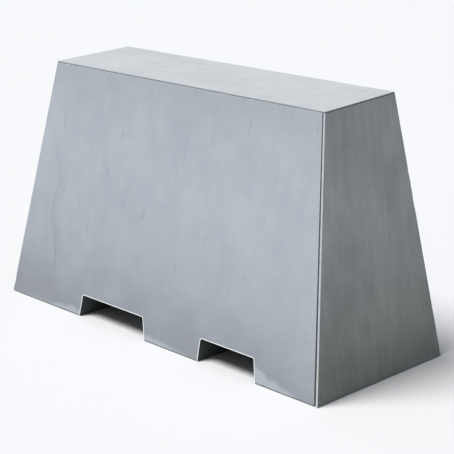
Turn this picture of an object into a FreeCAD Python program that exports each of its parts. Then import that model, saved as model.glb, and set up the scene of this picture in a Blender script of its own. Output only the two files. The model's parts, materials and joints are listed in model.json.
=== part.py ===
import FreeCAD, Part
import math
import os
from FreeCAD import Placement, Rotation, Vector

# A free-standing concrete vehicle barrier: a reinforced ballast core with two fork pockets, faced on
# all five sides with thin cement boards that are bonded to steel rails, with open joints at the corners.
# All sizes are in millimetres. The origin is on the ground under the middle of the block, +X runs along
# its length, the front looks along -Y and +Z points up.

# Outer envelope: a block whose four sides lean inwards and whose top falls towards the front
base_length = 1732.0
base_width = 705.0
top_length = 1445.0
top_width = 378.0
height = 1000.0  # at the middle of the top
top_rise = 22.0  # from the top's front edge to its back edge, so that rain runs off

# Facing boards
board_thickness = 8.0
top_thickness = 4.0  # of the top board, which no forklift or wheel scrapes
corner_joint = 5.0  # open joint where one board stops short of the next
corner_joint_foot = 9.0  # the joint beside the right end board widens to this at the ground
long_top_joint = 1.5  # between the top board and the front and back boards
end_top_joint = 2.0  # between the top board and the end boards
ground_gap = 4.0  # keeps the boards off the ground

# Layers between the boards and the core
tape_thickness = 3.0
rail_depth = 15.0
rail_sheet = 1.5
rail_crown = 30.0
rail_flange = 20.0
rail_margin = 15.0  # from a rail to the corner profile, pocket or core edge beside it
top_margin = 5.0  # from a top rail or a corner strip to the end of what it lies on
tape_width = 12.0
bead_width = 9.0
bond_offset = 8.0  # from the middle of a crown to the middle of its tape and of its bead

# Corner profiles: two faces that meet at the corner, each with a web and a flange back to the core
corner_sheet = 2.0
corner_face = 60.0
corner_flange = 20.0
corner_foot = 12.0  # height of the profile's lower end above the ground
corner_tape_start = 9.0  # from the profile's outer corner to its tape and to its bead
corner_bead_start = 28.0

# Fork pockets: clear openings, wider at the ground than at the top, in folded steel liners. Each has
# the x of its sides at the ground, and how far each side leans in over the pocket's height.
pocket_height = 88.5
pockets = {
    "wide": {"left": -419.0, "right": -25.5, "left_lean": 8.0, "right_lean": 24.0},
    "narrow": {"left": 271.5, "right": 567.0, "left_lean": 2.5, "right_lean": 20.0},
}
liner_plate = 4.0
liner_bend = 8.0  # radius inside the fold
board_fit = 0.5  # gap between a liner and the board around it

# Reinforcement
cover = 50.0
pocket_cover = 36.0  # concrete between a liner and the nearest bar above or beside it
link_diameter = 8.0
bar_diameter = 12.0
bend_radius = 20.0  # on the centreline of a bent bar
tie_gap = 1.5  # between a bar and the link that it is tied to
corner_bar_shift = 6.0  # moves a bar in from a link's rounded corner
inner_bar_spacing = 150.0
side_rows = 5  # levels between the bottom and top bars: hairpins and side bars by turns
hairpin_leg = 320.0
end_link_margin = 40.0
foot_link_margin = 54.0  # from a pocket's liner to the link in the foot beside it
wide_link_spacing = 190.0  # between the two links over the wide pocket

# Headed studs that hold a liner in the concrete
stud_diameter = 10.0
stud_length = 48.0
stud_head_diameter = 19.0
stud_head_height = 7.0
stud_spacing_x = 110.0
stud_spacing_y = 300.0

# Cast-in lifting anchors, used before the boards go on
anchor_spacing = 720.0
anchor_length = 170.0
anchor_shaft = 14.0
anchor_head = 25.0
anchor_head_height = 9.0
anchor_head_bevel = 2.5
anchor_neck = 5.0  # height of the cone from the head down to the shaft
anchor_foot = 35.0
anchor_foot_rim = 4.0
anchor_foot_height = 12.0
anchor_sink = 12.0  # from the core's top face down to the anchor's head
recess_radius = 37.0

# Concrete screws
screw_diameter = 6.0
screw_length = 42.0
screw_point = 4.0
screw_head = 10.0  # across flats
screw_head_height = 4.0
washer_diameter = 13.0
washer_thickness = 1.5
screw_hole = 7.0  # in a flange
screw_end_margin = 45.0  # from a rail's or corner profile's end to its nearest screw
face_rail_screws = 4
top_rail_screws = 2
screw_bite = 0.05  # radial gap between a screw and its hole in the core

# Values that follow from those above
end_lean = math.atan2((base_length - top_length) / 2, height)
side_lean = math.atan2((base_width - top_width) / 2, height)
top_fall = math.atan2(top_rise, top_width)
bond_inset = board_thickness + tape_thickness
core_inset = bond_inset + rail_depth
corner_reach = bond_inset + corner_face + corner_flange
rail_width = rail_crown + 2 * rail_flange
link_radius = link_diameter / 2
bar_radius = bar_diameter / 2
liner_top = pocket_height + liner_plate


def end_plane(side, inset):
    """The plane parallel to an end face, that far behind it: x for each height z."""
    return lambda z: side * (base_length / 2 - z * math.tan(end_lean) - inset / math.cos(end_lean))


def long_plane(side, inset):
    """The plane parallel to the front (side -1) or back (side 1) face: y for each height z."""
    return lambda z: side * (base_width / 2 - z * math.tan(side_lean) - inset / math.cos(side_lean))


def top_plane(inset):
    """The plane parallel to the top, that far below it: z for each y."""
    return lambda y: height + y * math.tan(top_fall) - inset / math.cos(top_fall)


def under_top(inset):
    """The upper limit of a layer that lies that far behind the side faces, under the thinner top board."""
    return top_plane(inset - board_thickness + top_thickness)


def upright(value):
    return lambda z: value


def meeting_height(level, y_plane):
    """The height where a y plane meets a level, which is either a height or a plane like the top's."""
    if not callable(level):
        return level
    rise = level(1) - level(0)
    slope = y_plane(1) - y_plane(0)
    return (level(0) + rise * y_plane(0)) / (1 - rise * slope)


def leaning_block(x_planes, y_planes, low, high):
    """The solid between two x planes, two y planes and two levels."""
    x_planes = sorted(x_planes, key=lambda plane: plane(0))
    y_planes = sorted(y_planes, key=lambda plane: plane(0))
    outlines = []
    for level in (low, high):
        points = []
        for i, j in ((0, 0), (1, 0), (1, 1), (0, 1)):
            z = meeting_height(level, y_planes[j])
            points.append(Vector(x_planes[i](z), y_planes[j](z), z))
        outlines.append(points)
    lower, upper = outlines
    for k in range(4):
        n = (k + 1) % 4
        outlines.append([lower[k], lower[n], upper[n], upper[k]])
    faces = [Part.Face(Part.makePolygon(points + points[:1])) for points in outlines]
    return Part.Solid(Part.Shell(faces))


def inset_block(inset, low, high):
    ends = [end_plane(side, inset) for side in (-1, 1)]
    sides = [long_plane(side, inset) for side in (-1, 1)]
    return leaning_block(ends, sides, low, high)


def fused(shapes):
    result = shapes[0].fuse(shapes[1:]) if len(shapes) > 1 else shapes[0]
    return result.removeSplitter()


def cylinder(start, end, diameter):
    axis = end - start
    return Part.makeCylinder(diameter / 2, axis.Length, start, axis)


# ---- places on the leaning faces ----


class Face:
    """A leaning face. Its u axis runs level, v runs up the slope and w points outwards."""

    def __init__(self, u, outwards, distance, lean):
        self.u = u
        self.lean = lean
        self.v = Vector(0, 0, 1) * math.cos(lean) - outwards * math.sin(lean)
        self.w = outwards * math.cos(lean) + Vector(0, 0, 1) * math.sin(lean)
        self.foot = outwards * distance
        self.turn = Rotation(self.u, self.v, self.w, "XYZ")

    def at(self, u, z, depth):
        """The placement that far along the face, at height z and that far behind its surface."""
        v = (z + depth * math.sin(self.lean)) / math.cos(self.lean)
        return Placement(self.foot + self.u * u + self.v * v - self.w * depth, self.turn)

    def slope_length(self, low, high):
        return (high - low) / math.cos(self.lean)


faces = {
    "front": Face(Vector(1, 0, 0), Vector(0, -1, 0), base_width / 2, side_lean),
    "back": Face(Vector(-1, 0, 0), Vector(0, 1, 0), base_width / 2, side_lean),
    "left_end": Face(Vector(0, -1, 0), Vector(-1, 0, 0), base_length / 2, end_lean),
    "right_end": Face(Vector(0, 1, 0), Vector(1, 0, 0), base_length / 2, end_lean),
}


def top_at(x, along, depth):
    """The placement that far below the top face's middle line, where local y runs up to the back."""
    turn = Rotation(Vector(1, 0, 0), math.degrees(top_fall))
    return Placement(Vector(x, 0, height) + turn.multVec(Vector(0, along, -depth)), turn)


def placed(shape, placement):
    copy = shape.copy()
    copy.Placement = placement.multiply(copy.Placement)
    return copy


# ---- fork pockets ----


def pocket_side(pocket, side, grow, z):
    """The x of a pocket's left or right side at height z, with the pocket made larger by grow."""
    slant = math.atan2(pocket[side + "_lean"], pocket_height)
    inwards = z * math.tan(slant) - grow / math.cos(slant)
    return pocket[side] + (inwards if side == "left" else -inwards)


def pocket_prism(pocket, grow):
    """A fork pocket's clear opening right through the block, made larger all round by grow."""
    top = pocket_height + grow
    corners = [("left", 0), ("right", 0), ("right", top), ("left", top)]
    points = [Vector(pocket_side(pocket, side, grow, z), -base_width, z) for side, z in corners]
    face = Part.Face(Part.makePolygon(points + points[:1]))
    prism = face.extrude(Vector(0, 2 * base_width, 0))
    folds = [e for e in prism.Edges if e.BoundBox.ZMin > top - 1e-6 and e.Length > base_width]
    return prism.makeFillet(liner_bend + grow, folds)


def pocket_middle(pocket):
    """Halfway across a pocket's roof."""
    sides = [pocket_side(pocket, side, 0, pocket_height) for side in ("left", "right")]
    return sum(sides) / 2


def liner_foot(pocket, side):
    """The x of a liner's outer face at the ground."""
    return pocket_side(pocket, side, liner_plate, 0)


def fork_liner(pocket):
    channel = pocket_prism(pocket, liner_plate).cut(pocket_prism(pocket, 0))
    return channel.common(inset_block(0, 0, top_plane(0)))


def liner_studs(pocket):
    studs = []
    for x_side in (-1, 1):
        for y_side in (-1, 1):
            x = pocket_middle(pocket) + x_side * stud_spacing_x / 2
            foot = Vector(x, y_side * stud_spacing_y / 2, liner_top)
            neck = foot + Vector(0, 0, stud_length - stud_head_height)
            shaft = cylinder(foot, neck, stud_diameter)
            head = cylinder(neck, foot + Vector(0, 0, stud_length), stud_head_diameter)
            studs.append(fused([shaft, head]))
    return studs


# ---- boards ----


def notched(board):
    grow = liner_plate + board_fit
    return board.cut([pocket_prism(pocket, grow) for pocket in pockets.values()])


def long_board(side):
    """Front or back board: it covers the left end board's edge and stops short of the right one's."""
    stop = end_plane(1, board_thickness + corner_joint)
    widening = corner_joint_foot - corner_joint
    ends = [end_plane(-1, 0), lambda z: stop(z) - widening * (1 - z / height)]
    skin = [long_plane(side, 0), long_plane(side, board_thickness)]
    top = under_top(board_thickness + long_top_joint)
    return notched(leaning_block(ends, skin, ground_gap, top))


def end_board(side):
    """The right end board covers the long boards' ends, the left one stands between them."""
    inset = 0 if side > 0 else board_thickness + corner_joint
    edges = [long_plane(-1, inset), long_plane(1, inset)]
    skin = [end_plane(side, 0), end_plane(side, board_thickness)]
    top = under_top(board_thickness + end_top_joint)
    return leaning_block(skin, edges, ground_gap, top)


def top_board():
    return inset_block(0, top_plane(top_thickness), top_plane(0))


# ---- rails, with their tape, beads and screws ----

rail_low = ground_gap + rail_margin
core_top = under_top(core_inset)(0)
core_edges = {
    "front": meeting_height(under_top(core_inset), long_plane(-1, core_inset)),
    "back": meeting_height(under_top(core_inset), long_plane(1, core_inset)),
    "left_end": core_top,
    "right_end": core_top,
}
edge_rail_x = end_plane(1, corner_reach)(core_top) - rail_margin - rail_width / 2
middle_foot = [liner_foot(pockets["wide"], "right"), liner_foot(pockets["narrow"], "left")]
long_rails = [
    {"x": -edge_rail_x, "low": rail_low},
    {"x": pocket_middle(pockets["wide"]), "low": liner_top + rail_margin},
    {"x": sum(middle_foot) / 2, "low": rail_low},
    {"x": pocket_middle(pockets["narrow"]), "low": liner_top + rail_margin},
]
top_rail_xs = [edge_rail_x * (2 * k / 3 - 1) for k in range(4)]
top_rail_half = long_plane(1, core_inset)(core_edges["back"]) - top_margin


def hat_rail(length, screw_stations):
    """A hat-section rail along +Y, its flanges on z = 0, with a hole at each (x, y) station."""
    crown = rail_crown / 2
    edge = rail_width / 2
    half_outline = [(edge, 0), (edge, rail_sheet), (crown, rail_sheet), (crown, rail_depth)]
    inner = [(crown - rail_sheet, rail_depth - rail_sheet), (crown - rail_sheet, 0)]
    outline = half_outline + [(-x, z) for x, z in reversed(half_outline)]
    outline += [(-x, z) for x, z in reversed(inner)] + inner
    points = [Vector(x, 0, z) for x, z in outline]
    rail = Part.Face(Part.makePolygon(points + points[:1])).extrude(Vector(0, length, 0))
    return rail.cut([flange_hole(x, y) for x, y in screw_stations])


def flange_hole(x, y):
    start = Vector(x, y, -rail_sheet)
    return cylinder(start, start + Vector(0, 0, 4 * rail_sheet), screw_hole)


def rail_stations(length, count):
    """Screw places on alternate flanges."""
    step = (length - 2 * screw_end_margin) / (count - 1)
    flange = (rail_crown + rail_flange) / 2
    return [(flange * (-1) ** k, screw_end_margin + k * step) for k in range(count)]


def concrete_screw():
    """A hexagon-head concrete screw: its washer stands on z = 0 and its shank points down."""
    washer = cylinder(Vector(), Vector(0, 0, washer_thickness), washer_diameter)
    corner = screw_head / math.sqrt(3)
    angles = [math.radians(60 * k) for k in range(7)]
    hexagon = [Vector(corner * math.cos(a), corner * math.sin(a), washer_thickness) for a in angles]
    head = Part.Face(Part.makePolygon(hexagon)).extrude(Vector(0, 0, screw_head_height))
    shank_end = Vector(0, 0, screw_point - screw_length)
    shank = cylinder(shank_end, Vector(), screw_diameter)
    point = Part.makeCone(screw_diameter / 2, screw_diameter / 6, screw_point, shank_end, Vector(0, 0, -1))
    return fused([washer, head, shank, point])


def screw_bore(sheet):
    """The hole that a screw makes in the core, below the sheet that it passes through."""
    radius = screw_diameter / 2 + screw_bite
    depth = screw_length + screw_bite
    return Part.makeCylinder(radius, depth - sheet, Vector(0, 0, -sheet), Vector(0, 0, -1))


def bond(length, offset, width):
    """A strip along +Y on a rail's crown, from z = 0 up to the back of a board."""
    return Part.makeBox(width, length, tape_thickness, Vector(offset - width / 2, 0, 0))


class Fixings:
    """Collects the screws, tapes and beads of one face, and the bores for the screws."""

    def __init__(self):
        self.screws = []
        self.tapes = []
        self.beads = []
        self.bores = []

    def screw(self, placement, sheet):
        self.screws.append(placed(concrete_screw(), placement))
        self.bores.append(placed(screw_bore(sheet), placement))

    def bond(self, placement, length):
        self.tapes.append(placed(bond(length, -bond_offset, tape_width), placement))
        self.beads.append(placed(bond(length, bond_offset, bead_width), placement))


def fit_rail(fixings, on_core, on_crown, length, count):
    """One rail. on_core places its flanges' underside and on_crown the outside of its crown."""
    stations = rail_stations(length, count)
    for x, y in stations:
        seat = on_core.multiply(Placement(Vector(x, y, rail_sheet), Rotation()))
        fixings.screw(seat, rail_sheet)
    fixings.bond(on_crown, length)
    return placed(hat_rail(length, stations), on_core)


def face_rail(name, u, low, fixings):
    face = faces[name]
    on_core = face.at(u, low, core_inset)
    on_crown = on_core.multiply(Placement(Vector(0, 0, rail_depth), Rotation()))
    length = face.slope_length(low, core_edges[name] - rail_margin)
    return fit_rail(fixings, on_core, on_crown, length, face_rail_screws)


def top_rail(x, fixings):
    crown_depth = top_thickness + tape_thickness
    on_core = top_at(x, -top_rail_half, crown_depth + rail_depth)
    on_crown = top_at(x, -top_rail_half, crown_depth)
    return fit_rail(fixings, on_core, on_crown, 2 * top_rail_half, top_rail_screws)


# ---- corner profiles ----

corner_screw_inset = corner_reach - corner_flange / 2
corner_screw_ends = (corner_foot + screw_end_margin, core_edges["front"] - screw_end_margin)
corner_screw_levels = (corner_screw_ends[0], sum(corner_screw_ends) / 2, corner_screw_ends[1])
corner_tape_inset = bond_inset + corner_tape_start
corner_bead_inset = bond_inset + corner_bead_start
corner_bond_insets = {
    "tapes": (corner_tape_inset, corner_tape_inset + tape_width),
    "beads": (corner_bead_inset, corner_bead_inset + bead_width),
}


def corner_profile(x_side, y_side):
    """A folded profile along one leaning corner edge of the core."""
    face_out, face_in = bond_inset, bond_inset + corner_sheet
    web_in, web_out = bond_inset + corner_face - corner_sheet, bond_inset + corner_face
    flange_out, flange_in = core_inset - corner_sheet, core_inset
    pieces = []
    strips = [
        ((face_out, web_out), (face_out, face_in)),
        ((web_in, web_out), (face_out, flange_in)),
        ((web_in, corner_reach), (flange_out, flange_in)),
    ]
    for along, through in strips:
        for x_insets, y_insets in ((along, through), (through, along)):
            x_planes = [end_plane(x_side, inset) for inset in x_insets]
            y_planes = [long_plane(y_side, inset) for inset in y_insets]
            pieces.append(leaning_block(x_planes, y_planes, corner_foot, under_top(bond_inset)))
    return fused(pieces)


def corner_holes(x_side, y_side):
    holes = []
    for placement in corner_screw_places(x_side, y_side).values():
        for spot in placement:
            low = spot.multVec(Vector(0, 0, -2 * corner_sheet))
            high = spot.multVec(Vector(0, 0, 2 * corner_sheet))
            holes.append(cylinder(low, high, screw_hole))
    return holes


def corner_screw_places(x_side, y_side):
    """The washers' seats on the profile's two flanges, by face."""
    long_name = "front" if y_side < 0 else "back"
    end_name = "left_end" if x_side < 0 else "right_end"
    depth = core_inset - corner_sheet
    spots = {long_name: [], end_name: []}
    for z in corner_screw_levels:
        x = end_plane(x_side, corner_screw_inset)(z)
        y = long_plane(y_side, corner_screw_inset)(z)
        spots[long_name].append(faces[long_name].at(x * faces[long_name].u.x, z, depth))
        spots[end_name].append(faces[end_name].at(y * faces[end_name].u.y, z, depth))
    return spots


def corner_bonds(x_side, y_side, kind):
    """The strip of tape or adhesive between a corner profile and the long board, and the end board."""
    along = corner_bond_insets[kind]
    through = (board_thickness, bond_inset)
    top = under_top(bond_inset + top_margin)
    strips = {}
    for key, x_insets, y_insets in (("long", along, through), ("end", through, along)):
        x_planes = [end_plane(x_side, inset) for inset in x_insets]
        y_planes = [long_plane(y_side, inset) for inset in y_insets]
        strips[key] = leaning_block(x_planes, y_planes, corner_foot, top)
    return strips


# ---- reinforcement ----


def link_path(x, low):
    """The centreline of a closed link in the plane of that x, as a wire with rounded corners."""
    inset = core_inset + cover + link_radius
    corners = []
    for side, level in ((-1, low), (1, low), (1, under_top(inset)), (-1, under_top(inset))):
        z = meeting_height(level, long_plane(side, inset))
        corners.append(Vector(x, long_plane(side, inset)(z), z))
    return rounded_wire(corners, closed=True)


def rounded_wire(corners, closed):
    """Straight runs through the corners, joined by arcs of the bend radius."""
    count = len(corners)
    bends = range(count) if closed else range(1, count - 1)
    arcs = {}
    for k in bends:
        corner = corners[k]
        back = (corners[k - 1] - corner).normalize()
        ahead = (corners[(k + 1) % count] - corner).normalize()
        half_angle = back.getAngle(ahead) / 2
        reach = bend_radius / math.tan(half_angle)
        middle = (back + ahead).normalize()
        crown = corner + middle * (bend_radius / math.sin(half_angle) - bend_radius)
        arcs[k] = (corner + back * reach, crown, corner + ahead * reach)
    edges = []
    for k in range(count if closed else count - 1):
        n = (k + 1) % count
        start = arcs[k][2] if k in arcs else corners[k]
        end = arcs[n][0] if n in arcs else corners[n]
        edges.append(Part.LineSegment(start, end).toShape())
        if n in arcs:
            edges.append(Part.Arc(*arcs[n]).toShape())
    return Part.Wire(edges)


def bent_bar(path, diameter):
    """A round bar swept along a wire that starts on a straight run."""
    first = path.Edges[0]
    middle = first.valueAt((first.FirstParameter + first.LastParameter) / 2)
    start = middle if path.isClosed() else first.valueAt(first.FirstParameter)
    if path.isClosed():
        end = first.valueAt(first.LastParameter)
        begin = first.valueAt(first.FirstParameter)
        halves = [Part.LineSegment(start, end).toShape(), Part.LineSegment(begin, start).toShape()]
        path = Part.Wire([halves[0]] + path.Edges[1:] + [halves[1]])
    profile = Part.Wire([Part.makeCircle(diameter / 2, start, first.tangentAt(first.FirstParameter))])
    return path.makePipeShell([profile], True, False)


wide_left, wide_right = [liner_foot(pockets["wide"], side) for side in ("left", "right")]
narrow_left, narrow_right = [liner_foot(pockets["narrow"], side) for side in ("left", "right")]
foot_link_low = cover + link_radius
pocket_link_low = liner_top + pocket_cover + link_radius
end_link_x = end_plane(1, core_inset)(core_top) - cover - end_link_margin
link_stations = [
    (-end_link_x, foot_link_low),
    (pocket_middle(pockets["wide"]) - wide_link_spacing / 2, pocket_link_low),
    (pocket_middle(pockets["wide"]) + wide_link_spacing / 2, pocket_link_low),
    (wide_right + foot_link_margin, foot_link_low),
    (narrow_left - foot_link_margin, foot_link_low),
    (pocket_middle(pockets["narrow"]), pocket_link_low),
    (end_link_x, foot_link_low),
]
tied_inset = core_inset + cover + link_diameter + tie_gap + bar_radius


def straight_bar(y_plane, z, x_low=None, x_high=None):
    limit = end_plane(1, core_inset)(z) - cover
    start = Vector(-limit if x_low is None else x_low, y_plane(z), z)
    end = Vector(limit if x_high is None else x_high, y_plane(z), z)
    return cylinder(start, end, bar_diameter)


def tied_planes():
    """The planes just inside the links, front and back, where the main bars run."""
    return [long_plane(side, tied_inset) for side in (-1, 1)]


def corner_bar_planes():
    """Like tied_planes, for the bars in the links' rounded corners."""
    return [long_plane(side, tied_inset + corner_bar_shift) for side in (-1, 1)]


def top_bar_level(plane):
    """The height of a top bar, just under the links' upper legs."""
    return meeting_height(under_top(tied_inset), plane)


bar_step_in = link_radius + tie_gap + bar_radius
bottom_bar_z = pocket_link_low + bar_step_in
foot_bar_z = foot_link_low + bar_step_in
row_step = (top_bar_level(corner_bar_planes()[0]) - bottom_bar_z) / (side_rows + 1)
side_levels = [bottom_bar_z + row_step * row for row in range(1, side_rows + 1)]
hairpin_levels = side_levels[0::2]
side_bar_levels = side_levels[1::2]


def bottom_bars():
    middle = [upright(side * inner_bar_spacing / 2) for side in (-1, 1)]
    return [straight_bar(plane, bottom_bar_z) for plane in corner_bar_planes() + middle]


def top_bars():
    return [straight_bar(plane, top_bar_level(plane)) for plane in corner_bar_planes()]


def side_bars():
    return [straight_bar(plane, z) for z in side_bar_levels for plane in tied_planes()]


def foot_bars():
    outer = end_plane(1, core_inset)(foot_bar_z) - cover
    spans = [
        (-outer, wide_left - pocket_cover),
        (wide_right + pocket_cover, narrow_left - pocket_cover),
        (narrow_right + pocket_cover, outer),
    ]
    planes = corner_bar_planes()
    return [straight_bar(plane, foot_bar_z, low, high) for low, high in spans for plane in planes]


def hairpins(side):
    """U-shaped bars round one end of the cage, each at its own level."""
    bars = []
    for z in hairpin_levels:
        x_end = end_plane(side, core_inset + cover + bar_radius)(z)
        x_leg = x_end - side * hairpin_leg
        front, back = [plane(z) for plane in tied_planes()]
        corners = [Vector(x_leg, front, z), Vector(x_end, front, z)]
        corners += [Vector(x_end, back, z), Vector(x_leg, back, z)]
        bars.append(bent_bar(rounded_wire(corners, closed=False), bar_diameter))
    return bars


# ---- lifting anchors ----

def lifting_anchor(x):
    """A forged anchor with a round head in the recess and a wide foot deep in the concrete."""
    head_top = core_top - anchor_sink
    levels = [
        (head_top, anchor_head / 2 - anchor_head_bevel),
        (head_top - anchor_head_bevel, anchor_head / 2),
        (head_top - anchor_head_height, anchor_head / 2),
        (head_top - anchor_head_height - anchor_neck, anchor_shaft / 2),
        (head_top - anchor_length + anchor_foot_height, anchor_shaft / 2),
        (head_top - anchor_length + anchor_foot_rim, anchor_foot / 2),
        (head_top - anchor_length, anchor_foot / 2),
    ]
    outline = [Vector(x, 0, levels[0][0])]
    outline += [Vector(x + radius, 0, z) for z, radius in levels]
    outline.append(Vector(x, 0, levels[-1][0]))
    section = Part.Face(Part.makePolygon(outline + outline[:1]))
    return section.revolve(Vector(x, 0, 0), Vector(0, 0, 1), 360)


def anchor_recess(x):
    return Part.makeSphere(recess_radius, Vector(x, 0, core_top))


# ---- the whole block ----


def export(name, solids):
    solids = solids if isinstance(solids, list) else [solids]
    bodies = [solid for shape in solids for solid in shape.Solids]
    shape = bodies[0] if len(bodies) == 1 else Part.makeCompound(bodies)
    if not shape.isValid():
        raise ValueError(name + " is not a valid shape")
    shape.exportStep(os.path.join("parts", name + ".step"))


def build():
    os.makedirs("parts", exist_ok=True)
    nodes = {}
    fixings = {name: Fixings() for name in list(faces) + ["top"]}

    for number, rail in enumerate(long_rails, 1):
        for name in ("front", "back"):
            u = rail["x"] * faces[name].u.x
            node = f"{name}_rail_{number}"
            nodes[node] = face_rail(name, u, rail["low"], fixings[name])
    for name in ("left_end", "right_end"):
        nodes[name + "_rail"] = face_rail(name, 0, rail_low, fixings[name])
    for number, x in enumerate(top_rail_xs, 1):
        nodes[f"top_rail_{number}"] = top_rail(x, fixings["top"])

    for x_side, end_name in ((-1, "left_end"), (1, "right_end")):
        for y_side, long_name in ((-1, "front"), (1, "back")):
            profile = corner_profile(x_side, y_side).cut(corner_holes(x_side, y_side))
            nodes[f"corner_profile_{long_name}_{end_name[:-4]}"] = profile
            for name, spots in corner_screw_places(x_side, y_side).items():
                for spot in spots:
                    fixings[name].screw(spot, corner_sheet)
            for kind in ("tapes", "beads"):
                strips = corner_bonds(x_side, y_side, kind)
                getattr(fixings[long_name], kind).append(strips["long"])
                getattr(fixings[end_name], kind).append(strips["end"])

    for name, fixing in fixings.items():
        nodes[name + "_screws"] = fixing.screws
        nodes[name + "_mounting_tapes"] = fixing.tapes
        nodes[name + "_adhesive_beads"] = fixing.beads

    cast_in = []
    for name, pocket in pockets.items():
        nodes[name + "_fork_liner"] = fork_liner(pocket)
        nodes[name + "_liner_studs"] = liner_studs(pocket)
        cast_in += nodes[name + "_liner_studs"]
    for number, (x, low) in enumerate(link_stations, 1):
        nodes[f"link_{number}"] = bent_bar(link_path(x, low), link_diameter)
        cast_in.append(nodes[f"link_{number}"])
    groups = {
        "bottom_bars": bottom_bars(),
        "side_bars": side_bars(),
        "top_bars": top_bars(),
        "foot_bars": foot_bars(),
        "left_end_hairpins": hairpins(-1),
        "right_end_hairpins": hairpins(1),
        "left_lifting_anchor": [lifting_anchor(-anchor_spacing / 2)],
        "right_lifting_anchor": [lifting_anchor(anchor_spacing / 2)],
    }
    for name, bars in groups.items():
        nodes[name] = bars
        cast_in += bars

    core = inset_block(core_inset, 0, under_top(core_inset))
    core = core.cut([pocket_prism(pocket, liner_plate) for pocket in pockets.values()])
    core = core.cut([anchor_recess(side * anchor_spacing / 2) for side in (-1, 1)])
    core = core.cut(cast_in)
    nodes["ballast_core"] = core.cut([bore for fixing in fixings.values() for bore in fixing.bores])

    nodes["front_panel"] = long_board(-1)
    nodes["back_panel"] = long_board(1)
    nodes["left_end_panel"] = end_board(-1)
    nodes["right_end_panel"] = end_board(1)
    nodes["top_panel"] = top_board()

    for name, solids in nodes.items():
        export(name, solids)
    print(len(nodes), "nodes")


build()
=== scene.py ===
import json
import math

import bmesh
import bpy
from mathutils import Matrix, Vector, noise


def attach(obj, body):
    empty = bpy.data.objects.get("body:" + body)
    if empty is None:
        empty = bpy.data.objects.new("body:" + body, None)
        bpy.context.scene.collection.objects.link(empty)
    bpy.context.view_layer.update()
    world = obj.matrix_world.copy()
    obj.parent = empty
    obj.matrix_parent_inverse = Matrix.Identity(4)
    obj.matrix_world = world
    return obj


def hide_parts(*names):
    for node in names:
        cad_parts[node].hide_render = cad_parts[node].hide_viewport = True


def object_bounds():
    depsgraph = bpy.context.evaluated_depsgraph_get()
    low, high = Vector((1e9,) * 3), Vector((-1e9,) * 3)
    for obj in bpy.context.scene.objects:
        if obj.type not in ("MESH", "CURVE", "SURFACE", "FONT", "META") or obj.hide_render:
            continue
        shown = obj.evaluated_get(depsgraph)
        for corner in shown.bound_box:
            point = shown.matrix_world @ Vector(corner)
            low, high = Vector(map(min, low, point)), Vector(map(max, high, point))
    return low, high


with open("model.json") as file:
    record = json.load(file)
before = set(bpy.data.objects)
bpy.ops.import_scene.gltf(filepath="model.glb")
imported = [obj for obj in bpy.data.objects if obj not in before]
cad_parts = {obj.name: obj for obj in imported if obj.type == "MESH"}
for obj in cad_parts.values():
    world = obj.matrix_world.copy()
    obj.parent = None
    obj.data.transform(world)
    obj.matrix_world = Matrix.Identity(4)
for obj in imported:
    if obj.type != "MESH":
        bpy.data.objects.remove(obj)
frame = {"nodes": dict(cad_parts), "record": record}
cadLow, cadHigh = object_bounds()
print("frame loaded:", len(frame["nodes"]), "CAD nodes")

mm = 0.001
scene = bpy.context.scene
scene.view_settings.view_transform = "Standard"


def linearColour(hexCode, alpha=1.0):
    channels = [int(hexCode[k:k + 2], 16) / 255 for k in (1, 3, 5)]
    curve = [c / 12.92 if c <= 0.04045 else ((c + 0.055) / 1.055) ** 2.4 for c in channels]
    return (*curve, alpha)


def addNode(tree, kind, inputs=None, **settings):
    # a socket given as an input is linked, and any other value is set on the node's own socket
    node = tree.nodes.new(kind)
    for key, value in settings.items():
        setattr(node, key, value)
    for key, value in (inputs or {}).items():
        if isinstance(value, bpy.types.NodeSocket):
            tree.links.new(value, node.inputs[key])
        else:
            node.inputs[key].default_value = value
    return node


def newMaterial(name):
    material = bpy.data.materials.new(name)
    material.use_nodes = True
    material.node_tree.nodes.clear()
    return material, material.node_tree


def finishMaterial(tree, colour, roughness, height, bumpDistance, **constants):
    # colour, roughness and height are sockets; the rest are constants on the shader itself
    bump = addNode(tree, "ShaderNodeBump", {"Height": height, "Distance": bumpDistance, "Strength": 1.0})
    shader = addNode(tree, "ShaderNodeBsdfPrincipled", {
        "Base Color": colour, "Roughness": roughness, "Normal": bump.outputs["Normal"], **constants})
    addNode(tree, "ShaderNodeOutputMaterial", {"Surface": shader.outputs["BSDF"]})


def pattern(tree, coords, size, seed=0.0, stretch=(1, 1, 1), detail=3.0, rough=0.55):
    # a noise whose blotches are about size across, drawn out along an axis by stretch
    place = addNode(tree, "ShaderNodeMapping", {
        "Vector": coords, "Location": (seed, seed * 1.7, seed * 0.6),
        "Scale": tuple(1 / (size * s) for s in stretch)})
    return addNode(tree, "ShaderNodeTexNoise", {
        "Vector": place.outputs["Vector"], "Scale": 1.0, "Detail": detail, "Roughness": rough}).outputs["Fac"]


def spread(tree, value, low, high, outLow=0.0, outHigh=1.0, smooth=False):
    return addNode(tree, "ShaderNodeMapRange", {
        "Value": value, "From Min": low, "From Max": high, "To Min": outLow, "To Max": outHigh},
        interpolation_type="SMOOTHSTEP" if smooth else "LINEAR").outputs["Result"]


def blendColours(tree, factor, first, second, how="MIX"):
    # 6 and 7 are the mix node's two colour inputs, and 2 is its colour output
    return addNode(tree, "ShaderNodeMix", {"Factor": factor, 6: first, 7: second},
                   data_type="RGBA", blend_type=how).outputs[2]


def arithmetic(tree, how, *values):
    return addNode(tree, "ShaderNodeMath", dict(enumerate(values)), operation=how).outputs[0]


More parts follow.
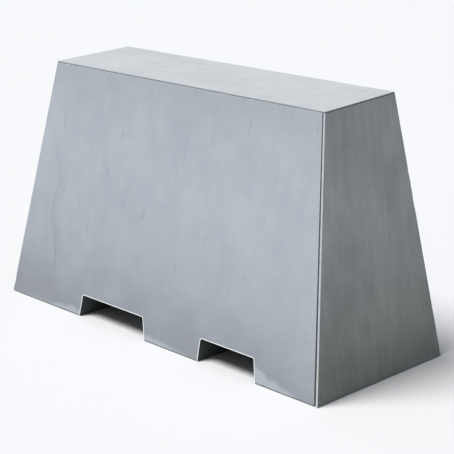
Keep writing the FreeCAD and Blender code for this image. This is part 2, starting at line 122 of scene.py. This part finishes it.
# Facing boards: fibre cement, pressed smooth, coloured through and sealed. The eye sees soft clouds in the
# colour, faint drawn marks and shallow pits from the press (the pits also painted darker, as painted shade),
# a satin sheen, a darkening towards the ground that is partly grime and partly painted shade, and a band
# along the foot where it has been rubbed off.
boardFinish = {
    "cloud": 260 * mm,
    "mottle": 60 * mm,
    "streakWidth": 32 * mm,
    "streakLength": 360 * mm,
    "pitWidth": 24 * mm,
    "pitLength": 110 * mm,
    "pitDepth": 1.2 * mm,
    "grit": 3.0 * mm,  # the real grit is about 0.5 mm, drawn coarser so that it shows
    "pitSpan": (0.72, 0.92),  # noise levels where a pit starts and where it is deepest
    # how dark the painted shade in the pits is
    "pitShadeStrength": 0.2,
    "softShare": 0.72,  # of the tone, clouds and streaks together
    "streakShare": 0.17,  # of the tone, where a board doesn't give its own
    "mottleShare": 0.22,
    "gritShare": 0.06,
    "toneSpan": (0.38, 0.62),  # noise levels that give the dark tone and the pale one
    "roughness": (0.46, 0.6),
    "grimeAndShadePatch": 170 * mm,
    "ragged": 260 * mm,  # how far the grime's level lines wander, at most
    "bandWander": (0.86, 1.14),  # how unevenly a rubbed band ends
    "rubbedTone": "#92979C",
    "rubbedStrength": 0.75,
    "rubbedBlur": (-16 * mm, 6 * mm),  # heights about the band's top between which it fades
    "fringeAndPitShadeTone": "#6E757B",  # grime gathered above a rubbed band; also the painted shade in the pits
    "fringeStrength": 0.35,
    "fringeHeight": 30 * mm,
    "fringeFrom": (6 * mm, 24 * mm),  # band heights at which a fringe starts and is full
    "paintedContactShadowTone": "#33373A",  # painted contact shadow along the lowest centimetre
    "paintedContactShadowSpan": (4 * mm, 16 * mm),
}
# A tint that multiplies the board's colour, by height in metres: a little darker towards the top and much
# darker towards the ground. On the long boards this is partly grime and partly painted shade; on the end
# boards it is painted shade, for the light that they lose near the ground.
longGrimeAndShade = ((0.0, "#CFCFCF"), (0.07, "#D8D8D8"), (0.16, "#E4E4E4"), (0.25, "#EFEFEF"), (0.35, "#F6F6F6"),
             (0.45, "#FAFAFA"), (0.6, "#FFFFFF"), (0.75, "#FEFEFE"), (0.85, "#FBFBFB"), (1.0, "#F1F1F1"))
endPaintedShade = ((0.0, "#BEBCB4"), (0.08, "#C8C5BC"), (0.17, "#D6D5CD"), (0.265, "#E6E6DF"), (0.36, "#EEEDE9"),
            (0.45, "#F5F5F3"), (0.55, "#FBFBFA"), (0.74, "#FFFFFF"), (0.84, "#FBFBFB"), (1.0, "#F2F2F2"))
# The boards' tones differ a little: the front and back are bluer and the top more neutral, painted light for
# the bluer light that falls on the front.
# The top of the rubbed band, as (place along the board, height) in metres
boards = {
    "front_panel": {
        "pale": "#92979D", "dark": "#8A8F96", "along": "X", "seed": 3.1, "lean": 0.05, "grimeAndShade": longGrimeAndShade,
        "rubbed": ((-0.87, 0.004), (-0.75, 0.012), (-0.62, 0.014), (-0.46, 0.036), (-0.42, 0.024),
                   (0.0, 0.032), (0.12, 0.02), (0.26, 0.004), (0.56, 0.074), (0.62, 0.046), (0.7, 0.026),
                   (0.8, 0.006), (0.87, 0.004)),
    },
    "back_panel": {
        "pale": "#92979D", "dark": "#8A8F96", "along": "X", "seed": 8.4, "grimeAndShade": longGrimeAndShade,
        "rubbed": ((-0.87, 0.03), (-0.7, 0.008), (-0.45, 0.05), (-0.02, 0.02), (0.2, 0.04), (0.3, 0.01),
                   (0.6, 0.012), (0.87, 0.045)),
    },
    "left_end_panel": {
        "pale": "#93989B", "dark": "#7D8386", "along": "Y", "seed": 13.7, "grimeAndShade": endPaintedShade,
        # the end boards get a painted contact shadow at the foot, of this strength
        "streakShare": 0.26, "paintedContactShadow": 0.25,
        "rubbed": ((-0.35, 0.03), (-0.1, 0.006), (0.15, 0.022), (0.35, 0.008)),
    },
    "right_end_panel": {
        "pale": "#93989B", "dark": "#7D8386", "along": "Y", "seed": 17.2, "grimeAndShade": endPaintedShade,
        # the end boards get a painted contact shadow at the foot, of this strength
        "streakShare": 0.26, "paintedContactShadow": 0.25,
        "rubbed": ((-0.35, 0.004), (-0.2, 0.007), (0.05, 0.004), (0.3, 0.012), (0.35, 0.004)),
    },
    "top_panel": {"pale": "#969A9C", "dark": "#8F9295", "along": "Y", "seed": 23.9},
}
# A hairline crack down the front board. Beside it the board is a little darker on the right.
crack = {
    "path": ((0.1, -0.6), (0.15, -0.6025), (0.2375, -0.6175), (0.294, -0.636), (0.3375, -0.6575),
             (0.4, -0.6675), (0.4625, -0.649), (0.506, -0.64), (0.588, -0.661), (0.644, -0.686),
             (0.7, -0.7)),  # (height, x)
    "across": (-0.72, -0.58),  # the span of x that holds the path
    "tone": "#5E646A",
    "lineReach": (1.5 * mm, 6 * mm),  # half widths where the line is full and where it ends
    "lineStart": (0.13, 0.16),  # heights between which the line appears
    "lineCloses": (0.28, 0.34),  # heights between which it closes to a faint line
    "lineEnd": (0.6, 0.66),
    "faint": 0.25,
    "brokenBy": (0.38, 0.6),  # mottle levels that make the line weakest and strongest
    "strength": (0.12, 0.46),
    "shadeTone": "#F5F5F5",
    "shadeReach": 70 * mm,
    "shadeBlur": 6 * mm,
    "shadeStart": (0.12, 0.24),
    "shadeEnd": (0.56, 0.68),
}


def rampOf(tree, value, stops, how="B_SPLINE"):
    # stops are (place from 0 to 1, colour)
    ramp = addNode(tree, "ShaderNodeValToRGB", {"Fac": value})
    ramp.color_ramp.interpolation = how
    elements = ramp.color_ramp.elements
    while len(elements) < len(stops):
        elements.new(0.5)
    for element, (place, colour) in zip(elements, stops):
        element.position = place
    for element, (place, colour) in zip(elements, stops):
        element.color = colour
    return ramp.outputs["Color"]


def curveOf(tree, value, points, low, high, outLow, outHigh):
    # a bent line through (in, out) points, with low..high and outLow..outHigh as the spans in and out
    share = spread(tree, value, low, high)
    stops = []
    for x, y in points:
        grey = (y - outLow) / (outHigh - outLow)
        stops.append(((x - low) / (high - low), (grey, grey, grey, 1.0)))
    return spread(tree, rampOf(tree, share, stops, "LINEAR"), 0.0, 1.0, outLow, outHigh)


def weighted(tree, *pairs):
    total = None
    for value, weight in pairs:
        part = arithmetic(tree, "MULTIPLY", value, weight)
        total = part if total is None else arithmetic(tree, "ADD", total, part)
    return total


def grimedAndShaded(tree, colour, board, place, clouds, fine):
    # place is the SeparateXYZ node of the piece's own coordinates
    f = boardFinish
    level = place.outputs["Z"]
    wander = arithmetic(tree, "MULTIPLY_ADD", clouds, f["ragged"], -f["ragged"] / 2)
    uneven = arithmetic(tree, "ADD", level, wander)
    if "lean" in board:
        uneven = arithmetic(tree, "MULTIPLY_ADD", place.outputs[board["along"]], board["lean"], uneven)
    # darker towards the top and towards the ground: partly grime and partly painted shade, and on the end
    # boards painted shade
    tint = rampOf(tree, uneven, [(z, linearColour(shade)) for z, shade in board["grimeAndShade"]])
    colour = blendColours(tree, 1.0, colour, tint, "MULTIPLY")
    half = max(abs(along) for along, height in board["rubbed"])
    band = curveOf(tree, place.outputs[board["along"]], board["rubbed"], -half, half, 0.0, 0.1)
    band = arithmetic(tree, "MULTIPLY", band, spread(tree, fine, 0.3, 0.7, *f["bandWander"]))
    above = arithmetic(tree, "SUBTRACT", level, band)
    fringe = spread(tree, above, 1 * mm, f["fringeHeight"], 1.0, 0.0, smooth=True)
    fringe = arithmetic(tree, "MULTIPLY", fringe, spread(tree, band, *f["fringeFrom"]))
    fringe = arithmetic(tree, "MULTIPLY", fringe, f["fringeStrength"])
    colour = blendColours(tree, fringe, colour, linearColour(f["fringeAndPitShadeTone"]))
    rubbed = spread(tree, above, *f["rubbedBlur"], 1.0, 0.0, smooth=True)
    rubbed = arithmetic(tree, "MULTIPLY", rubbed, f["rubbedStrength"])
    colour = blendColours(tree, rubbed, colour, linearColour(f["rubbedTone"]))
    if "paintedContactShadow" not in board:
        return colour
    # a painted contact shadow along the foot of the end boards
    paintedContactShadowMask = spread(tree, level, *f["paintedContactShadowSpan"], board["paintedContactShadow"], 0.0, smooth=True)
    return blendColours(tree, paintedContactShadowMask, colour, linearColour(f["paintedContactShadowTone"]))


def cracked(tree, colour, place, mottle):
    c = crack
    level = place.outputs["Z"]
    path = curveOf(tree, level, c["path"], c["path"][0][0], c["path"][-1][0], *c["across"])
    offset = arithmetic(tree, "SUBTRACT", place.outputs["X"], path)
    away = arithmetic(tree, "ABSOLUTE", offset)
    fade = arithmetic(tree, "MULTIPLY", spread(tree, level, *c["shadeStart"], smooth=True),
                      spread(tree, level, *c["shadeEnd"], 1.0, 0.0, smooth=True))
    near = spread(tree, away, 0.0, c["shadeReach"], 1.0, 0.0, smooth=True)
    near = arithmetic(tree, "MULTIPLY", near, fade)
    right = spread(tree, offset, -c["shadeBlur"], c["shadeBlur"], smooth=True)
    shade = blendColours(tree, right, linearColour("#FFFFFF"), linearColour(c["shadeTone"]))
    colour = blendColours(tree, near, colour, blendColours(tree, 1.0, colour, shade, "MULTIPLY"))
    line = arithmetic(tree, "MULTIPLY", spread(tree, away, *c["lineReach"], 1.0, 0.0, smooth=True),
                      spread(tree, level, *c["lineCloses"], 1.0, c["faint"], smooth=True))
    line = arithmetic(tree, "MULTIPLY", line, spread(tree, level, *c["lineStart"], smooth=True))
    line = arithmetic(tree, "MULTIPLY", line, spread(tree, level, *c["lineEnd"], 1.0, 0.0, smooth=True))
    line = arithmetic(tree, "MULTIPLY", line, spread(tree, mottle, *c["brokenBy"], *c["strength"]))
    return blendColours(tree, line, colour, linearColour(c["tone"]))


def sealedCement(node, board):
    f = boardFinish
    material, tree = newMaterial("sealedFibreCement_" + node)
    coords = addNode(tree, "ShaderNodeTexCoord").outputs["Object"]
    place = addNode(tree, "ShaderNodeSeparateXYZ", {"Vector": coords})
    seed = board["seed"]
    upright = "grimeAndShade" in board
    streakRatio, pitRatio = f["streakLength"] / f["streakWidth"], f["pitLength"] / f["pitWidth"]
    streakStretch = (1, 1, streakRatio) if upright else (1, streakRatio, 1)
    pitStretch = (1, 1, pitRatio) if upright else (1, pitRatio, 1)
    clouds = pattern(tree, coords, f["cloud"], seed, detail=3.0, rough=0.55)
    mottle = pattern(tree, coords, f["mottle"], seed + 1, detail=3.0)
    streaks = pattern(tree, coords, f["streakWidth"], seed + 2, streakStretch, detail=1.0)
    grit = pattern(tree, coords, f["grit"], seed + 3, detail=2.0)
    pitNoise = pattern(tree, coords, f["pitWidth"], seed + 4, pitStretch, detail=0.0)
    pits = spread(tree, pitNoise, *f["pitSpan"], smooth=True)
    drawn = board.get("streakShare", f["streakShare"])
    tone = weighted(tree, (clouds, f["softShare"] - drawn), (mottle, f["mottleShare"]), (streaks, drawn),
                    (grit, f["gritShare"]))
    colour = blendColours(tree, spread(tree, tone, *f["toneSpan"]), linearColour(board["dark"]),
                          linearColour(board["pale"]))
    if upright:
        patches = pattern(tree, coords, f["grimeAndShadePatch"], seed + 6)
        colour = grimedAndShaded(tree, colour, board, place, patches, streaks)
    if node == "front_panel":
        colour = cracked(tree, colour, place, mottle)
    # the pits are painted darker: painted shade inside them
    pitShade = arithmetic(tree, "MULTIPLY", pits, f["pitShadeStrength"])
    colour = blendColours(tree, pitShade, colour, linearColour(f["fringeAndPitShadeTone"]))
    relief = weighted(tree, (pits, -1.0), (grit, 0.05), (mottle, 0.25))
    roughness = spread(tree, mottle, 0.3, 0.7, *f["roughness"])
    finishMaterial(tree, colour, roughness, relief, f["pitDepth"], **{"IOR": 1.5})
    return material


# The boards' cut edges: matt and grainy, with the sand showing. The top board's are darker, painted shade for
# the shadow line of the joint beneath it.
cutEdges = {
    "sawn": {"dark": "#8E9396", "pale": "#A2A7A9"},
    "topPaintedShade": {"dark": "#6A6F72", "pale": "#7C8184"},
}


def cutCement(name, tones):
    material, tree = newMaterial(name + "FibreCementEdge")
    coords = addNode(tree, "ShaderNodeTexCoord").outputs["Object"]
    grain = pattern(tree, coords, 1.6 * mm, 4.0, detail=3.0)
    patches = pattern(tree, coords, 30 * mm, 6.0)
    tone = weighted(tree, (grain, 0.5), (patches, 0.5))
    colour = blendColours(tree, spread(tree, tone, 0.35, 0.65), linearColour(tones["dark"]),
                          linearColour(tones["pale"]))
    finishMaterial(tree, colour, spread(tree, grain, 0.3, 0.7, 0.75, 0.95), grain, 0.4 * mm, **{"IOR": 1.5})
    return material


def bareConcrete():
    # cast in a steel mould: grey, dull, with small air holes painted dark (painted shade inside them) and
    # darker and lighter pours
    material, tree = newMaterial("castConcrete")
    coords = addNode(tree, "ShaderNodeTexCoord").outputs["Object"]
    clouds = pattern(tree, coords, 180 * mm, 2.0, detail=5.0)
    sand = pattern(tree, coords, 2.5 * mm, 5.0)
    holesCells = addNode(tree, "ShaderNodeTexVoronoi", {"Vector": coords, "Scale": 1 / (22 * mm)})
    holes = holesCells.outputs["Distance"]
    pit = spread(tree, holes, 0.06, 0.1)
    colour = blendColours(tree, spread(tree, clouds, 0.35, 0.65), linearColour("#85847F"),
                           linearColour("#A3A19A"))
    # the air holes are painted dark: painted shade inside them
    colour = blendColours(tree, pit, linearColour("#4A4946"), colour)
    relief = arithmetic(tree, "ADD", pit, arithmetic(tree, "MULTIPLY", sand, 0.2))
    finishMaterial(tree, colour, spread(tree, sand, 0.3, 0.7, 0.8, 0.95), relief, 1.2 * mm)
    return material


def pocketShadeCoat():
    # black brushed-on bitumen inside a folded steel channel, painted shade for the deep shade in the fork
    # pockets, scraped by fork tines; its cut ends are ground and left pale
    material, tree = newMaterial("pocketShadePlate")
    coords = addNode(tree, "ShaderNodeTexCoord").outputs["Object"]
    brush = pattern(tree, coords, 4 * mm, 3.0, (1, 40, 1), detail=2.0)
    patches = pattern(tree, coords, 60 * mm, 7.0)
    scrape = pattern(tree, coords, 5 * mm, 11.0, (1, 60, 1), detail=3.0)
    bare = arithmetic(tree, "MULTIPLY", spread(tree, scrape, 0.66, 0.72), spread(tree, patches, 0.5, 0.6))
    # near-black coat: painted shade for the pocket's deep shade
    shadeCoat = blendColours(tree, brush, linearColour("#303435"), linearColour("#434849"))
    shadeCoat = blendColours(tree, arithmetic(tree, "MULTIPLY", bare, 0.7), shadeCoat, linearColour("#7B7068"))
    facing = addNode(tree, "ShaderNodeNewGeometry").outputs["True Normal"]
    across = addNode(tree, "ShaderNodeSeparateXYZ", {"Vector": facing})
    cutEnd = spread(tree, arithmetic(tree, "ABSOLUTE", across.outputs["Y"]), 0.7, 0.8)
    ground = blendColours(tree, patches, linearColour("#B4B8BA"), linearColour("#C9CCCD"))
    colour = blendColours(tree, cutEnd, shadeCoat, ground)
    roughness = spread(tree, brush, 0.3, 0.7, 0.5, 0.75)
    finishMaterial(tree, colour, roughness, brush, 0.3 * mm)
    return material


def powderCoat():
    # matt black polyester powder with the fine orange peel that it cures with
    material, tree = newMaterial("powderCoatedSteel")
    coords = addNode(tree, "ShaderNodeTexCoord").outputs["Object"]
    peel = pattern(tree, coords, 2.5 * mm, 1.0, detail=1.0)
    dust = pattern(tree, coords, 70 * mm, 9.0, detail=4.0)
    colour = blendColours(tree, spread(tree, dust, 0.45, 0.75), linearColour("#1B1D1F"),
                           linearColour("#3A3C3C"))
    finishMaterial(tree, colour, spread(tree, dust, 0.3, 0.7, 0.55, 0.75), peel, 0.08 * mm)
    return material


def galvanised():
    # hot-dip zinc: a pale metal with flat crystals about 8 mm across, dulled by white bloom
    material, tree = newMaterial("hotDipGalvanisedSteel")
    coords = addNode(tree, "ShaderNodeTexCoord").outputs["Object"]
    spangleCells = addNode(tree, "ShaderNodeTexVoronoi", {"Vector": coords, "Scale": 1 / (8 * mm)})
    spangle = spangleCells.outputs["Color"]
    crystal = addNode(tree, "ShaderNodeSeparateColor", {"Color": spangle}).outputs["Red"]
    bloom = pattern(tree, coords, 45 * mm, 3.0, detail=4.0)
    colour = blendColours(tree, crystal, linearColour("#A9AEB2"), linearColour("#C6CACC"))
    colour = blendColours(tree, spread(tree, bloom, 0.5, 0.75), colour, linearColour("#D3D5D3"))
    finishMaterial(tree, colour, spread(tree, crystal, 0.0, 1.0, 0.32, 0.5), crystal, 0.03 * mm, Metallic=1.0)
    return material


def zincPlate():
    # bright zinc plating, faintly streaked by the barrel that the screws were plated in
    material, tree = newMaterial("zincPlatedSteel")
    coords = addNode(tree, "ShaderNodeTexCoord").outputs["Object"]
    haze = pattern(tree, coords, 3 * mm, 2.0)
    colour = blendColours(tree, haze, linearColour("#B4B6B2"), linearColour("#CED0CC"))
    finishMaterial(tree, colour, spread(tree, haze, 0.3, 0.7, 0.25, 0.4), haze, 0.02 * mm, Metallic=1.0)
    return material


def foamTape():
    # closed-cell polyethylene foam: dark grey, matt, finely pitted
    material, tree = newMaterial("closedCellFoam")
    coords = addNode(tree, "ShaderNodeTexCoord").outputs["Object"]
    voronoi = addNode(tree, "ShaderNodeTexVoronoi", {"Vector": coords, "Scale": 1 / (0.8 * mm)})
    cells = voronoi.outputs["Distance"]
    colour = blendColours(tree, cells, linearColour("#2C2E30"), linearColour("#44474A"))
    finishMaterial(tree, colour, spread(tree, cells, 0.0, 1.0, 0.8, 0.95), cells, 0.15 * mm)
    return material


def adhesive():
    # cured polyurethane, black, smooth and a little glossy where it was squeezed flat
    material, tree = newMaterial("curedPolyurethane")
    coords = addNode(tree, "ShaderNodeTexCoord").outputs["Object"]
    flow = pattern(tree, coords, 12 * mm, 2.0)
    colour = blendColours(tree, flow, linearColour("#0E0F10"), linearColour("#1A1B1D"))
    finishMaterial(tree, colour, spread(tree, flow, 0.3, 0.7, 0.3, 0.45), flow, 0.4 * mm)
    return material


def forgedSteel():
    # dark mill scale over a forged skin
    material, tree = newMaterial("forgedSteel")
    coords = addNode(tree, "ShaderNodeTexCoord").outputs["Object"]
    scale = pattern(tree, coords, 6 * mm, 2.0, detail=4.0)
    colour = blendColours(tree, scale, linearColour("#4A4848"), linearColour("#6E6A66"))
    finishMaterial(tree, colour, spread(tree, scale, 0.3, 0.7, 0.45, 0.7), scale, 0.1 * mm, Metallic=1.0)
    return material


def rebarSteel():
    # hot-rolled bar with a thin brown rust
    material, tree = newMaterial("hotRolledBar")
    coords = addNode(tree, "ShaderNodeTexCoord").outputs["Object"]
    rust = pattern(tree, coords, 9 * mm, 2.0, detail=5.0)
    colour = blendColours(tree, spread(tree, rust, 0.4, 0.6), linearColour("#5A5351"),
                           linearColour("#7B4A2E"))
    finishMaterial(tree, colour, spread(tree, rust, 0.3, 0.7, 0.6, 0.9), rust, 0.2 * mm, Metallic=0.3)
    return material


finishes = {
    "cast_concrete": bareConcrete(),
    "black_coated_steel": powderCoat(),
    "foam_mounting_tape": foamTape(),
    "polyurethane_adhesive": adhesive(),
    "zinc_plated_steel": zincPlate(),
    "bitumen_painted_steel": pocketShadeCoat(),
    "forged_steel": forgedSteel(),
    "galvanised_steel": galvanised(),
    "reinforcing_steel": rebarSteel(),
}
for part in frame["record"]["subparts"]:
    if part["material_slot"] in finishes:
        for materialSlot in frame["nodes"][part["node"]].material_slots:
            materialSlot.material = finishes[part["material_slot"]]
print("materials on the CAD nodes")

# Each board gets eased and slightly chipped edges, which the CAD model leaves sharp.
edgeWear = {
    "step": 5 * mm,  # spacing of the points along an edge
    "ease": 0.9 * mm,
    "chip": 2.6 * mm,  # the deepest chip away from the ground
    "lowChip": 5.0 * mm,  # the deepest chip at the ground
    "lowHeight": 60 * mm,
    "chipSpacing": 35 * mm,
    "chipFrom": 0.28,  # the noise level at which a chip starts
    "chipFull": 0.5,  # how much further up it is at its deepest
    "roughen": 0.12,  # how far the fine noise moves a chip's outline
    "easeVaries": 0.35,
    "corner": 0.32,  # where the middle of the eased edge lies, as a share of its depth
    "throughShare": 0.6,  # of the board's thickness, the most that a chip takes
}


def outlineOf(node):
    # the board's outer outline in order, with the inner corner behind each outer one
    shape = bmesh.new()
    shape.from_mesh(frame["nodes"][node].data)
    bmesh.ops.remove_doubles(shape, verts=shape.verts, dist=0.01 * mm)
    bmesh.ops.dissolve_limit(shape, angle_limit=math.radians(0.2), verts=shape.verts, edges=shape.edges)
    centre = sum((v.co for v in shape.verts), Vector()) / len(shape.verts)
    away = centre - (cadLow + cadHigh) / 2
    outer = max(shape.faces, key=lambda face: face.calc_area() * (1 if face.normal.dot(away) > 0 else 0))
    ring = [loop.vert for loop in outer.loops]
    behind = []
    for vert in ring:
        others = [edge.other_vert(vert) for edge in vert.link_edges if outer not in edge.link_faces]
        behind.append(others[0].co.copy())
    outline = [(vert.co.copy(), back) for vert, back in zip(ring, behind)]
    normal = outer.normal.copy()
    shape.free()
    return outline, normal


def chipDepth(point, seed):
    w = edgeWear
    spot = noise.noise(point / w["chipSpacing"] + Vector((seed, 0, 0)))
    fine = noise.noise(point / (w["chipSpacing"] / 6) + Vector((0, seed, 0)))
    low = max(0.0, 1 - point.z / w["lowHeight"])
    deepest = w["chip"] + (w["lowChip"] - w["chip"]) * low
    chip = max(0.0, spot - w["chipFrom"] + w["roughen"] * fine) / w["chipFull"]
    return w["ease"] * (1 + w["easeVaries"] * fine) + min(1.0, chip) * deepest * (0.75 + 0.5 * fine)


def easedBoard(node, seed):
    outline, normal = outlineOf(node)
    points = []  # outer point, inner point, direction into the board's face
    for k, (start, startBack) in enumerate(outline):
        end, endBack = outline[(k + 1) % len(outline)]
        previous = outline[k - 1][0]
        count = max(1, round((end - start).length / edgeWear["step"]))
        inwards = normal.cross(end - start).normalized()
        before = normal.cross(start - previous).normalized()
        for i in range(count):
            share = i / count
            direction = inwards if i else (inwards + before) / (1 + inwards.dot(before))
            points.append((start.lerp(end, share), startBack.lerp(endBack, share), direction))
    rings = [[], [], [], []]
    for outer, back, inwards in points:
        depth = chipDepth(outer, seed)
        through = (back - outer).normalized()
        rings[0].append(outer + inwards * depth)
        rings[1].append(outer + (inwards + through) * depth * edgeWear["corner"])
        deepest = edgeWear["throughShare"] * (back - outer).length
        rings[2].append(outer + through * min(depth, deepest))
        rings[3].append(back)
    shape = bmesh.new()
    verts = [[shape.verts.new(co) for co in ring] for ring in rings]
    count = len(points)
    face = shape.faces.new(verts[0])
    shape.faces.new(list(reversed(verts[3])))
    for r in range(3):
        for k in range(count):
            n = (k + 1) % count
            side = shape.faces.new((verts[r][n], verts[r][k], verts[r + 1][k], verts[r + 1][n]))
            side.material_index = 1
    face.normal_update()
    if face.normal.dot(normal) < 0:
        bmesh.ops.reverse_faces(shape, faces=shape.faces)
    bmesh.ops.triangulate(shape, faces=[f for f in shape.faces if len(f.verts) > 4])
    mesh = bpy.data.meshes.new(node.replace("_panel", "_board"))
    shape.to_mesh(mesh)
    shape.free()
    board = bpy.data.objects.new(mesh.name, mesh)
    scene.collection.objects.link(board)
    return board


edgeMaterials = {name: cutCement(name, tones) for name, tones in cutEdges.items()}
for node, values in boards.items():
    board = easedBoard(node, values["seed"])
    board.data.materials.append(sealedCement(node, values))
    # the top board's edges take the darker tones, painted shade
    board.data.materials.append(edgeMaterials["sawn" if "grimeAndShade" in values else "topPaintedShade"])
    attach(board, "root")
    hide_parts(node)
print("boards made:", len(boards))

# Floor, light and camera
studio = {
    "floorSize": 60.0,
    "floorTone": "#B0B0B1",
    "world": "#E4E9EE",
    "worldStrength": 0.55,
    "lightFrom": (-0.30, -0.42, 1.0),
    "lightSpread": 30.0,  # a wide soft box, as an angle across
    "lightStrength": 6.0,
}


def studioFloor():
    half = studio["floorSize"] / 2
    mesh = bpy.data.meshes.new("studioFloor")
    corners = [(-half, -half, 0), (half, -half, 0), (half, half, 0), (-half, half, 0)]
    mesh.from_pydata(corners, [], [(0, 1, 2, 3)])
    floor = bpy.data.objects.new("studioFloor", mesh)
    scene.collection.objects.link(floor)
    material, tree = newMaterial("studioFloor")
    shader = addNode(tree, "ShaderNodeBsdfPrincipled", {
        "Base Color": linearColour(studio["floorTone"]), "Roughness": 0.9})
    addNode(tree, "ShaderNodeOutputMaterial", {"Surface": shader.outputs["BSDF"]})
    mesh.materials.append(material)


def softLight():
    data = bpy.data.lights.new("softLight", "SUN")
    data.energy = studio["lightStrength"]
    data.angle = math.radians(studio["lightSpread"])
    lamp = bpy.data.objects.new("softLight", data)
    scene.collection.objects.link(lamp)
    lamp.rotation_mode = "QUATERNION"
    lamp.rotation_quaternion = (-Vector(studio["lightFrom"])).to_track_quat("-Z", "Y")


def studioWorld():
    world = bpy.data.worlds.new("studioWorld")
    scene.world = world
    world.use_nodes = True
    tree = world.node_tree
    tree.nodes.clear()
    back = addNode(tree, "ShaderNodeBackground", {
        "Color": linearColour(studio["world"]), "Strength": studio["worldStrength"]})
    addNode(tree, "ShaderNodeOutputWorld", {"Surface": back.outputs["Background"]})


shot = {
    "position": (3.6721, -3.6223, 1.8837),
    "azimuth": 44.828,
    "elevation": 16.098,
    "roll": 0.508,
    "lens": 107.725,
}


def mainCamera():
    azimuth, elevation, roll = [math.radians(shot[key]) for key in ("azimuth", "elevation", "roll")]
    back = Vector((math.sin(azimuth) * math.cos(elevation), -math.cos(azimuth) * math.cos(elevation),
                   math.sin(elevation)))
    right = Vector((0, 0, 1)).cross(back).normalized()
    upward = back.cross(right)
    turn = Matrix((right, upward, back)).transposed() @ Matrix.Rotation(roll, 3, "Z")
    data = bpy.data.cameras.new("mainCamera")
    data.sensor_width = 36.0
    data.lens = shot["lens"]
    data.clip_end = 200.0
    camera = bpy.data.objects.new("mainCamera", data)
    scene.collection.objects.link(camera)
    camera.rotation_mode = "QUATERNION"
    camera.rotation_quaternion = turn.to_quaternion()
    camera.location = shot["position"]
    scene.camera = camera


studioFloor()
studioWorld()
softLight()
mainCamera()
print("floor, light and camera made")
